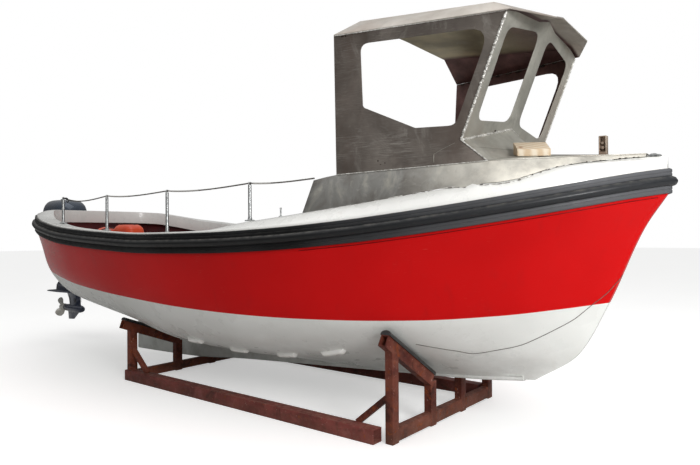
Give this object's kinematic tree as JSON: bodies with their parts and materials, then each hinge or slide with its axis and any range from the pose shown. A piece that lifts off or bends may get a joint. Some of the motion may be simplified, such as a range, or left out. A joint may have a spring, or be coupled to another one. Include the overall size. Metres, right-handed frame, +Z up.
{
  "type": "inshore rescue boat",
  "caption": "Open inshore rescue boat with a bare metal wheelhouse forward, rubber belt and tilting outboard, standing on its steel storage cradle.",
  "frame": {"origin": "middle of the bounding box on the ground, which is the underside of the cradle's rails", "axes": "+X to the bow, +Y to port, +Z up"},
  "size_m": [8.034, 2.856, 2.9975],
  "materials": {
    "gelcoat_red": "glossy red gelcoat, off-white below the waterline",
    "gelcoat_white": "glossy off-white gelcoat",
    "belt_rubber": "satin black",
    "pad_rubber": "matt black",
    "bare_aluminium": "bare, scratched mill finish",
    "galvanised": "dull galvanised",
    "timber": "raw softwood",
    "line": "worn grey line",
    "orange_plastic": "satin",
    "cradle_paint": "worn red oxide paint",
    "motor_paint": "dark blue-grey gloss",
    "propeller_paint": "worn off-white"
  },
  "bodies": {
    "boat": {"hull": "gelcoat_red", "keel": "gelcoat_white", "foredeck_plate": "bare_aluminium", "deck_moulding": "gelcoat_white", "fender_belt": "belt_rubber", "coaming_stbd": "bare_aluminium", "coaming_port": "bare_aluminium", "wheelhouse_side_stbd": "bare_aluminium", "wheelhouse_side_port": "bare_aluminium", "windscreen_stbd": "bare_aluminium", "windscreen_port": "bare_aluminium", "nose_panel_stbd": "bare_aluminium", "nose_panel_port": "bare_aluminium", "wheelhouse_roof": "bare_aluminium", "timber_block": "timber", "samson_post": "galvanised", "bow_fairlead": "galvanised", "stanchion_1": "galvanised", "stanchion_2": "galvanised", "stanchion_3": "galvanised", "stanchion_4": "galvanised", "lifeline": "line", "aft_thwart": "gelcoat_white", "mid_thwart": "gelcoat_white", "fuel_tank": "orange_plastic", "cradle_rail_stbd": "cradle_paint", "cradle_rail_port": "cradle_paint", "cradle_frame_aft": "cradle_paint", "cradle_frame_fore": "cradle_paint", "aft_pad_stbd": "pad_rubber", "aft_pad_port": "pad_rubber", "fore_pad_stbd": "pad_rubber", "fore_pad_port": "pad_rubber", "clamp_bracket": "motor_paint"},
    "swivel": {"swivel_bracket": "motor_paint"},
    "motor": {"outboard_leg": "motor_paint", "outboard_cowl": "motor_paint"},
    "propeller": {"propeller": "propeller_paint"}
  },
  "joints": [
    {"name": "outboard_tilt", "type": "hinge", "parent": "boat", "child": "swivel", "pos_m": [-3.173, 0, 1.365], "axis": [0, 1, 0], "range_deg": [0, 60]},
    {"name": "outboard_steer", "type": "hinge", "parent": "swivel", "child": "motor", "pos_m": [-3.348, 0, 1.2], "axis": [0, 0, 1], "range_deg": [-30, 30]},
    {"name": "propeller_spin", "type": "hinge", "parent": "motor", "child": "propeller", "pos_m": [-3.708, 0, 0.43], "axis": [1, 0, 0], "continuous": true}
  ]
}
